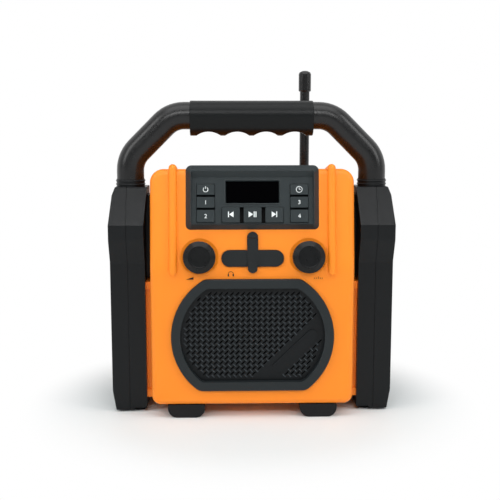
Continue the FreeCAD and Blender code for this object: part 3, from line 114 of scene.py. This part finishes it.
tree.links.new(mix.outputs["Shader"], tree.nodes["Material Output"].inputs["Surface"])
floor_mesh.materials.append(paper_roll)

# Light: an even dim room with a white wall behind the radio, a wide soft box over it, two at
# its sides and one high in front. Each box aims at a height on the radio's upright middle line.
room_light = 0.30
wall_start = -0.25
wall_end = 0.25
box_columns = ("name", "place", "aim_height", "width", "height", "watts")
soft_boxes = (("top_box", (0.0, -0.30, 1.15), 0.12, 1.3, 0.7, 6.0),
              ("left_box", (-1.10, -0.60, 0.80), 0.15, 0.4, 0.9, 5.0),
              ("right_box", (1.10, -0.60, 0.80), 0.15, 0.4, 0.9, 5.0),
              ("front_box", (0.0, -1.40, 1.02), 0.12, 1.4, 0.3, 9.5))
room = bpy.data.worlds.new("room")
bpy.context.scene.world = room
room.use_nodes = True
tree = room.node_tree
way = node(tree, "ShaderNodeTexCoord").outputs["Generated"]
back = node(tree, "ShaderNodeSeparateXYZ", {"Vector": way}).outputs["Y"]
wall = node(tree, "ShaderNodeMapRange", {"Value": back, "From Min": wall_start, "From Max": wall_end},
            interpolation_type="SMOOTHSTEP")
share = node(tree, "ShaderNodeMath", {0: wall.outputs["Result"], 1: shown_directly(tree)},
             operation="MULTIPLY")
level = node(tree, "ShaderNodeMapRange", {"Value": share.outputs["Value"], "To Min": room_light,
                                          "To Max": 1.0})
tree.links.new(level.outputs["Result"], tree.nodes["Background"].inputs["Strength"])
tree.nodes["Background"].inputs["Color"].default_value = (1, 1, 1, 1)
for row in soft_boxes:
    box = dict(zip(box_columns, row))
    lamp = bpy.data.lights.new(box["name"], "AREA")
    lamp.shape = "RECTANGLE"
    lamp.size = box["width"]
    lamp.size_y = box["height"]
    lamp.energy = box["watts"]
    holder = bpy.data.objects.new(box["name"], lamp)
    holder.location = box["place"]
    across, along, up = box["place"]
    aim = Vector((-across, -along, box["aim_height"] - up))
    holder.rotation_euler = aim.to_track_quat("-Z", "Y").to_euler()
    bpy.context.scene.collection.objects.link(holder)

# Case: two shells and a battery door of orange impact-proof plastic. The shells meet at an upright
# seam and are drawn together from behind. A fine satin grain softens every reflection.


def varied(tree, place, scale, detail, middle, spread):
    """Value that wanders about a middle from place to place: noise, stretched to run a spread either way."""
    noise_low = 0.3
    noise_high = 0.7
    noise = node(tree, "ShaderNodeTexNoise", {"Vector": place, "Scale": scale, "Detail": detail})
    ends = {"From Min": noise_low, "From Max": noise_high,
            "To Min": middle - spread, "To Max": middle + spread}
    return node(tree, "ShaderNodeMapRange", {"Value": noise.outputs["Fac"], **ends}).outputs["Result"]


def moulded(name, tint, roughness, grain, relief, mottle=0.03, specular=0.3, metallic=0.0):
    """A moulded or coated finish. The tint is multiplied by a slow mottle about 1, the roughness varies a
    little in small clouds, and fine noise of the grain's size lifts the surface by up to half that size."""
    mottle_scale = 16.0
    cloud_scale = 240.0
    gloss_spread = 0.04
    material = bpy.data.materials.new(name)
    material.use_nodes = True
    tree = material.node_tree
    surface = tree.nodes["Principled BSDF"]
    place = node(tree, "ShaderNodeTexCoord").outputs["Object"]
    tone = varied(tree, place, mottle_scale, 4.0, 1.0, mottle)
    shade = node(tree, "ShaderNodeMix", {"Factor": 1.0, "A": tint, "B": tone}, data_type="RGBA",
                 blend_type="MULTIPLY")
    gloss = varied(tree, place, cloud_scale, 3.0, roughness, gloss_spread)
    fine = node(tree, "ShaderNodeTexNoise", {"Vector": place, "Scale": 1.0 / grain, "Detail": 2.0})
    bump = node(tree, "ShaderNodeBump", {"Height": fine.outputs["Fac"], "Strength": relief,
                                         "Distance": grain / 2})
    tree.links.new(shade.outputs["Result"], surface.inputs["Base Color"])
    tree.links.new(gloss, surface.inputs["Roughness"])
    tree.links.new(bump.outputs["Normal"], surface.inputs["Normal"])
    surface.inputs["Specular IOR Level"].default_value = specular
    surface.inputs["Metallic"].default_value = metallic
    return material


def finish(material, *names):
    """Gives CAD nodes a finish."""
    for name in names:
        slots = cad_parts[name].data.materials
        slots.clear()
        slots.append(material)


case_orange = moulded("case_orange", screen(252, 140, 30), roughness=0.42, grain=0.00045, relief=0.10,
                      mottle=0.015, specular=0.35)
finish(case_orange, "front_shell", "rear_shell", "battery_door")

# Seals: soft black rubber in the seam of the case and round the battery opening, squeezed when the
# screws are driven home. The sheet with a dome under every key is of the same rubber.
seal_black = moulded("seal_black", screen(24, 24, 26), roughness=0.7, grain=0.0004, relief=0.2, specular=0.2)
finish(seal_black, "shell_gasket", "door_seal", "key_mat")

# Guards: deep half shells of black plastic on both sides, screwed together from outside, with a
# slightly coarser spark-eroded grain. The collars at their tops grip the handle.
guard_black = moulded("guard_black", screen(12, 15, 17), roughness=0.36, grain=0.0006, relief=0.16,
                      mottle=0.05, specular=0.24)
finish(guard_black, "right_pod_inner", "right_pod_outer", "left_pod_inner", "left_pod_outer",
       "handle_collars")

# Feet: stout blocks under the case, two in front and two behind, and thin stepped pads under the
# guards. They are moulded in rubber and fixed flat to the undersides.
foot_rubber = moulded("foot_rubber", screen(26, 26, 27), roughness=0.68, grain=0.0005, relief=0.3,
                      specular=0.2)
finish(foot_rubber, "case_feet", "pod_feet")

# Handle: one steel tube with four bends and a satin powder coat, which has a slight orange peel.
# Its feet stand in sockets inside the guards.
tube_coat = moulded("tube_coat", screen(10, 11, 12), roughness=0.30, grain=0.0006, relief=0.04, specular=0.45)
finish(tube_coat, "handle_tube")

# Grip: a thick rubber sleeve, moulded with four finger hollows along its underside and pushed
# over the straight top of the tube.
grip_rubber = moulded("grip_rubber", screen(12, 15, 16), roughness=0.36, grain=0.0005, relief=0.12,
                      specular=0.2)
finish(grip_rubber, "handle_grip")

# Control frame: a hooded frame of dark grey plastic with a cool tint, clipped into the tilted
# face, and the plate of the same plastic that lies deep inside it.
frame_tint = screen(40, 47, 49)
hood_grey = moulded("hood_grey", frame_tint, roughness=0.46, grain=0.0005, relief=0.16, specular=0.3)
plate_grey = moulded("plate_grey", frame_tint, roughness=0.5, grain=0.0004, relief=0.12, specular=0.2)
finish(hood_grey, "control_bezel")
finish(plate_grey, "panel_plate")

# Display: a liquid crystal cell behind a glossy black pane, set into a bevelled surround that
# slopes from the plate down to the pane. Sizes are in millimetres, heights up and out of the plate.
millimetre = 0.001
micron_digits = 6
panel_tilt = 9.0
panel_plane = (-0.054, 0.132, math.radians(panel_tilt))
plate_foot_up = 35.9
plate_foot_out = 4.0
plate_extra_tilt = 4.0
pane_half_width = 22.9
pane_low = 17.8
pane_high = 37.4


def lifted(flat, plane):
    """Points (across, up, out) in mm on a tilted plane, as places on the radio in metres. Across stays X.
    Y is the plane's foot plus up times the tilt's sine less out times its cosine, and Z is the foot's
    height plus up times the cosine plus out times the sine."""
    foot_y, foot_z, tilt = plane
    across, up, out = np.asarray(flat, dtype=float).T * millimetre
    return np.stack([across, foot_y + up * math.sin(tilt) - out * math.cos(tilt),
                     foot_z + up * math.cos(tilt) + out * math.sin(tilt)], axis=1)


def piece(name, points, faces, material, body):
    """A new piece of the radio from points in metres, on its body and with its finish."""
    mesh = bpy.data.meshes.new(name)
    mesh.from_pydata(points.tolist(), [], faces)
    mesh.materials.append(material)
    mesh.update()
    made = bpy.data.objects.new(name, mesh)
    bpy.context.scene.collection.objects.link(made)
    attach(made, body)


def rounded_rectangle(x0, x1, y0, y1, corner, out):
    """Closed outline with round corners at one height over its plane: a quarter circle about each corner's
    centre, one after the other and each a right angle further round."""
    corner_points = 10
    turn = np.radians(np.linspace(0, 90, corner_points))
    points = []
    for start, cx, cy in ((0, x1 - corner, y1 - corner), (90, x0 + corner, y1 - corner),
                          (180, x0 + corner, y0 + corner), (270, x1 - corner, y0 + corner)):
        angle = turn + math.radians(start)
        points.append(np.stack([cx + corner * np.cos(angle), cy + corner * np.sin(angle),
                                np.full(corner_points, out)], axis=1))
    return np.concatenate(points)


def rings(outlines):
    """Points and quads of a closed band that runs from outline to outline, all with as many points. Each
    quad joins two neighbours on one outline to the same two on the next."""
    count = len(outlines[0])
    grid = np.arange(count * len(outlines)).reshape(len(outlines), count)
    a, b = grid[:-1], grid[1:]
    quads = np.stack([a, np.roll(a, -1, axis=1), np.roll(b, -1, axis=1), b], axis=-1).reshape(-1, 4)
    return np.concatenate(outlines), quads.tolist()


plate_foot = lifted([(0.0, plate_foot_up, plate_foot_out)], panel_plane)[0].round(micron_digits)
plate_plane = (plate_foot[1], plate_foot[2], math.radians(panel_tilt + plate_extra_tilt))
pane_black = moulded("pane_black", screen(3, 3, 4), roughness=0.10, grain=0.0006, relief=0.01, specular=0.0)
finish(pane_black, "display_window", "display_module")
# each step of the surround: how far outside the pane, how high over the plate, and its corner's radius
surround_steps = ((0.9, 0.0, 1.0), (0.8, 0.28, 1.0), (0.35, 0.36, 0.9),
                  (-0.05, 0.28, 0.8), (-0.55, -0.85, 0.7), (-0.65, -1.14, 0.7))
outlines = [rounded_rectangle(-pane_half_width - grow, pane_half_width + grow, pane_low - grow,
                              pane_high + grow, corner, out)
            for grow, out, corner in surround_steps]
points, quads = rings(outlines)
piece("display_surround", lifted(points, plate_plane), quads, hood_grey, "case")

# Keys: nine grey rubber keys that push straight in, each over its own dome of the sheet below, with
# a white sign or numeral printed on its face. Places are in millimetres across and up the plate.
key_face = 1.2
ink_height = 0.05
column_x = 39.3
column_rows = (29.6, 18.8, 7.2)
low_row = 8.1
low_row_pitch = 18.2
key_middles = {}
for x, names in ((-column_x, ("key_power", "key_one", "key_two")),
                 (column_x, ("key_clock", "key_three", "key_four"))):
    for name, row in zip(names, column_rows):
        key_middles[name] = (x, row)
for step, name in enumerate(("key_previous", "key_play", "key_next"), start=-1):
    key_middles[name] = (step * low_row_pitch, low_row)
key_grey = moulded("key_grey", screen(42, 49, 51), roughness=0.52, grain=0.0004, relief=0.15, specular=0.2)
finish(key_grey, *key_middles)
white_ink = moulded("white_ink", screen(232, 238, 238), roughness=0.5, grain=0.0003, relief=0.1, specular=0.2)


def bow(radius, width, start, end):
    """Flat curved stroke: two circles half a width inside and outside the radius, from one angle to another
    in degrees, joined by quads."""
    bow_points = 33
    angle = np.radians(np.linspace(start, end, bow_points))
    ring = np.concatenate([np.stack([r * np.cos(angle), r * np.sin(angle)], axis=1)
                           for r in (radius - width / 2, radius + width / 2)])
    return ring, [(i, bow_points + i, bow_points + i + 1, i + 1) for i in range(bow_points - 1)]


def bar(x0, x1, y0, y1):
    """Flat upright rectangle from its four corners."""
    return np.array([(x0, y0), (x1, y0), (x1, y1), (x0, y1)], dtype=float), [(0, 1, 2, 3)]


def figure(text, size):
    """Flat points and faces of a plain numeral, less the middle of its lowest and highest corner."""
    curve = bpy.data.curves.new("numeral", "FONT")
    curve.body = text
    curve.size = size
    holder = bpy.data.objects.new("numeral", curve)
    mesh = bpy.data.meshes.new_from_object(holder)
    flat = np.empty(len(mesh.vertices) * 3, dtype=np.float32)
    mesh.vertices.foreach_get("co", flat)
    flat = flat.reshape(-1, 3)[:, :2].astype(float)
    faces = [tuple(face.vertices) for face in mesh.polygons]
    bpy.data.objects.remove(holder)
    bpy.data.meshes.remove(mesh)
    return flat - (flat.min(axis=0) + flat.max(axis=0)) / 2, faces


def printed(name, marks, middle, out, plane, ink, body):
    """Print of several flat marks: each is moved to the middle and laid an ink's height over the plane."""
    points = []
    faces = []
    count = 0
    for flat, mark_faces in marks:
        height = np.full((len(flat), 1), out + ink_height)
        points.append(np.concatenate([flat + np.asarray(middle), height], axis=1))
        faces += [tuple(count + i for i in face) for face in mark_faces]
        count += len(flat)
    piece(name, lifted(np.concatenate(points), plane), faces, ink, body)


# the play and skip signs: posts and arrow heads, a little over the key's middle
sign_rise = 0.5
post_half_height = 2.4
post_width = 0.8
arrow_half_height = 2.5
skip_tip = 1.5
skip_foot = -2.2
skip_post = 1.6
play_tip = 0.5
play_foot = -3.4
pause_posts = (0.9, 2.4)


def post(x):
    """Upright bar of a sign, from its left edge."""
    return bar(x, x + post_width, sign_rise - post_half_height, sign_rise + post_half_height)


def arrow(tip, foot):
    """Flat triangle that points along X from its foot to its tip, with its front towards the reader."""
    points = np.array([(foot, sign_rise - arrow_half_height), (tip, sign_rise),
                       (foot, sign_rise + arrow_half_height)], dtype=float)
    return points, [(0, 1, 2) if tip > foot else (0, 2, 1)]


# the power sign: a ring that is open at its top, and a bar through the opening
power_radius = 2.0
power_stroke = 0.5
power_half_gap = 35.0
power_bar_low = 0.6
power_bar_high = 2.8
power_sign = [bow(power_radius, power_stroke, 90 + power_half_gap, 450 - power_half_gap),
              bar(-power_stroke / 2, power_stroke / 2, power_bar_low, power_bar_high)]

# the clock: a full ring and two hands
clock_radius = 2.5
clock_stroke = 0.45
hand_half_width = 0.22
long_hand = 1.75
short_hand = 1.4
clock_sign = [bow(clock_radius, clock_stroke, 0, 360),
              bar(-hand_half_width, hand_half_width, -hand_half_width, long_hand),
              bar(-hand_half_width, short_hand, -hand_half_width, hand_half_width)]

numeral_size = 5.0
marks = {"key_power": power_sign,
         "key_clock": clock_sign,
         "key_previous": [post(-skip_post - post_width), arrow(-skip_tip, -skip_foot)],
         "key_play": [arrow(play_tip, play_foot), *map(post, pause_posts)],
         "key_next": [arrow(skip_tip, skip_foot), post(skip_post)]}
for number, name in enumerate(("key_one", "key_two", "key_three", "key_four"), start=1):
    marks[name] = [figure(str(number), numeral_size)]
for name, shapes in marks.items():
    printed(name + "_mark", shapes, key_middles[name], key_face, plate_plane, white_ink, name + "_cap")

# Knobs: two round knobs of smooth black plastic with a sloped rim round a sunk face, pushed on to
# the steel shafts of the controls behind the panel, which hexagon nuts hold.
knob_black = moulded("knob_black", screen(13, 15, 16), roughness=0.30, grain=0.0005, relief=0.06,
                     specular=0.25)
finish(knob_black, "volume_knob", "tuning_knob")
control_steel = moulded("control_steel", screen(168, 168, 170), roughness=0.34, grain=0.0003, relief=0.1,
                        metallic=1.0)
finish(control_steel, "volume_shaft", "tuning_shaft", "rotary_controls", "control_nuts")

# Marks on the case: a rising wedge for the loudness and a row of ticks for the tuning, under the
# knobs, and a small headphone sign under the flap, printed in black. They lie on the plane of the
# tilted face, carried on past the bend, so they stand up to 1.6 mm in front of the case there.
caption_up = -9.0
loudness_across = -53.0
tuning_across = 55.4
caption_half_width = 3.2
caption_foot = -1.0
wedge_top = 1.2
tick_half_width = 0.22
tick_pitch = 1.6
tick_top = 0.3
middle_tick_top = 1.1
headphone_place = (-18.4, -5.5)
band_radius = 2.1
band_stroke = 0.4
cup_inner = 1.5
cup_outer = 2.6
cup_low = -1.9
black_ink = moulded("black_ink", screen(40, 30, 24), roughness=0.5, grain=0.0003, relief=0.1, specular=0.2)
rising_wedge = (np.array([(-caption_half_width, caption_foot), (caption_half_width, caption_foot),
                          (caption_half_width, wedge_top)]), [(0, 1, 2)])
ticks = [bar(step * tick_pitch - tick_half_width, step * tick_pitch + tick_half_width, caption_foot,
             tick_top if step else middle_tick_top)
         for step in range(-2, 3)]
headphones = [bow(band_radius, band_stroke, 0, 180), bar(-cup_outer, -cup_inner, cup_low, 0.0),
              bar(cup_inner, cup_outer, cup_low, 0.0)]
for name, shapes, middle in (("loudness_mark", [rising_wedge], (loudness_across, caption_up)),
                             ("tuning_mark", ticks, (tuning_across, caption_up)),
                             ("headphone_mark", headphones, headphone_place)):
    printed(name, shapes, middle, 0.0, panel_plane, black_ink, "case")

# Socket flap: a rubber strap that ends in a pill-shaped cover over the two sockets. The top of
# the strap is plugged through the case. The sockets and the power inlet are of black plastic.
flap_rubber = moulded("flap_rubber", screen(33, 36, 37), roughness=0.56, grain=0.0005, relief=0.2,
                      specular=0.15)
finish(flap_rubber, "socket_flap", "flap_anchor")
socket_black = moulded("socket_black", screen(16, 16, 17), roughness=0.4, grain=0.0004, relief=0.1)
finish(socket_black, "audio_jacks", "dc_inlet")

# Loudspeaker frame: a proud ring of dark grey plastic round the grille, moulded in one with a
# skirt that reaches into the case.
ring_grey = moulded("ring_grey", screen(33, 38, 40), roughness=0.45, grain=0.0005, relief=0.18, specular=0.25)
finish(ring_grey, "speaker_frame")

# Grille: a black moulded panel with rows of slanted slots. Low slanted bars stand between the slots
# and cross them like a weave, and leave the plain slanted band with its raised bar free. The bars are
# coloured lighter than the panel they are moulded with, as a painted highlight.
speaker_middle = 73.7
oval_half_height = 48.5
oval_side_radius = 58.0
oval_side_centre = 11.3
oval_side_drop = 1.7
slot_pitch = (4.7, 4.63)
slot_shift = (1.3, -1.9)
slot_columns = 15
slot_rows = 11
grille_front = -51.6
weave_length = 3.7
weave_width = 1.15
weave_height = 0.45
weave_top_length = 0.8
weave_top_width = 0.45
weave_inset = 11.2
band_middle = (36.4, 58.8)
band_angle = math.radians(44.0)
band_half_below = 6.4
band_half_above = 9.2
grille_black = moulded("grille_black", screen(17, 20, 22), roughness=0.40, grain=0.0005, relief=0.12,
                       specular=0.2)
finish(grille_black, "speaker_grille")
# painted highlight: the bars get a lighter grey and more shine than the black panel they are moulded with
weave_painted_highlight = moulded("weave_painted_highlight", screen(44, 50, 54), roughness=0.38, grain=0.0004, relief=0.1,
                      specular=0.4)


def bar_middles():
    """Middles of the weave's bars, as X and Z in mm: a grid of the slots' pitch, half a pitch beside the
    slots, kept where it lies inside the oval, moved in by the inset, and off the slanted band."""
    i, j = np.meshgrid(np.arange(-slot_columns, slot_columns + 1), np.arange(-slot_rows, slot_rows + 1))
    x = (slot_shift[0] + (i + 0.5) * slot_pitch[0]).ravel()
    z = (speaker_middle + slot_shift[1] + (j + 0.5) * slot_pitch[1]).ravel()
    from_side = np.hypot(np.maximum(np.abs(x) - oval_side_centre, 0), z - speaker_middle + oval_side_drop)
    inside = np.abs(z - speaker_middle) < oval_half_height - weave_inset
    inside &= from_side < oval_side_radius - weave_inset
    across = -(x - band_middle[0]) * math.sin(band_angle) + (z - band_middle[1]) * math.cos(band_angle)
    inside &= (across < -band_half_below) | (across > band_half_above)
    return x[inside], z[inside]


def slanted_bars(x, z):
    """Points in metres and faces of a low bar at every middle: a rectangle on the grille and a smaller one
    at the bar's height, both turned half a right angle, joined by four sides."""
    corners = np.array([(-0.5, -0.5), (0.5, -0.5), (0.5, 0.5), (-0.5, 0.5)])
    foot = corners * (weave_length, weave_width)
    top = foot * (weave_top_length, weave_top_width)
    half_right_turn = np.array([(1.0, -1.0), (1.0, 1.0)]) * math.sqrt(0.5)
    offset = np.concatenate([foot, top]) @ half_right_turn
    height = np.repeat((0.0, weave_height), len(corners))
    points = np.empty((len(x), len(offset), 3))
    points[..., 0] = x[:, None] + offset[:, 0]
    points[..., 1] = grille_front - height
    points[..., 2] = z[:, None] + offset[:, 1]
    bar_faces = np.array([(4, 5, 6, 7), (0, 1, 5, 4), (1, 2, 6, 5), (2, 3, 7, 6), (3, 0, 4, 7)])
    faces = bar_faces[None] + len(offset) * np.arange(len(x))[:, None, None]
    return points.reshape(-1, 3) * millimetre, faces.reshape(-1, 4).tolist()


points, quads = slanted_bars(*bar_middles())
piece("grille_weave", points, quads, weave_painted_highlight, "case")

# Driver: a paper cone in a pressed steel basket with a ferrite magnet behind it, screwed by its
# flange to a black board that stands behind the grille.
cone_paper = moulded("cone_paper", screen(16, 16, 17), roughness=0.85, grain=0.0008, relief=0.5, specular=0.1)
finish(cone_paper, "speaker_cone")
board_black = moulded("board_black", screen(10, 10, 11), roughness=0.8, grain=0.0005, relief=0.2,
                      specular=0.1)
finish(board_black, "speaker_baffle")
basket_steel = moulded("basket_steel", screen(140, 140, 143), roughness=0.4, grain=0.0004, relief=0.15,
                       metallic=1.0)
finish(basket_steel, "speaker_basket")
ferrite = moulded("ferrite", screen(62, 62, 66), roughness=0.62, grain=0.0005, relief=0.3)
finish(ferrite, "speaker_magnet")

# Screws: zinc plated steel, driven into the case from behind, into the guards from outside, and
# round the driver's flange.
zinc_plate = moulded("zinc_plate", screen(176, 178, 180), roughness=0.32, grain=0.0003, relief=0.12,
                     metallic=1.0)
finish(zinc_plate, "case_screws", "pod_screws", "speaker_screws")

# Battery compartment: a black moulded box behind the door, with sprung nickel contacts and six
# cells in two columns. Two thumb screws hold the door, and it turns on two pins.
holder_black = moulded("holder_black", screen(28, 29, 31), roughness=0.5, grain=0.0005, relief=0.2)
finish(holder_black, "battery_holder", "door_screw_left", "door_screw_right")
contact_nickel = moulded("contact_nickel", screen(205, 200, 190), roughness=0.22, grain=0.0003, relief=0.08,
                         metallic=1.0)
finish(contact_nickel, "battery_contacts", "door_pins", "antenna_pin")
cell_jacket = moulded("cell_jacket", screen(48, 56, 84), roughness=0.25, grain=0.0004, relief=0.05,
                      specular=0.5)
finish(cell_jacket, "battery_cells")

# Circuit boards: green lacquered glass fibre. One closes the control frame from behind, and one
# stands on the front of the battery box.
board_green = moulded("board_green", screen(24, 92, 56), roughness=0.32, grain=0.0005, relief=0.1,
                      specular=0.5)
finish(board_green, "key_board", "main_board")

# Aerial: a flexible mast under black rubber with a fat moulded tip. It folds down behind the top of
# the case, from a hinge on the right to a rest on the left.
mast_rubber = moulded("mast_rubber", screen(10, 11, 12), roughness=0.26, grain=0.0005, relief=0.06,
                      specular=0.45)
finish(mast_rubber, "antenna_mast", "antenna_cap")
finish(guard_black, "antenna_base", "antenna_clip")
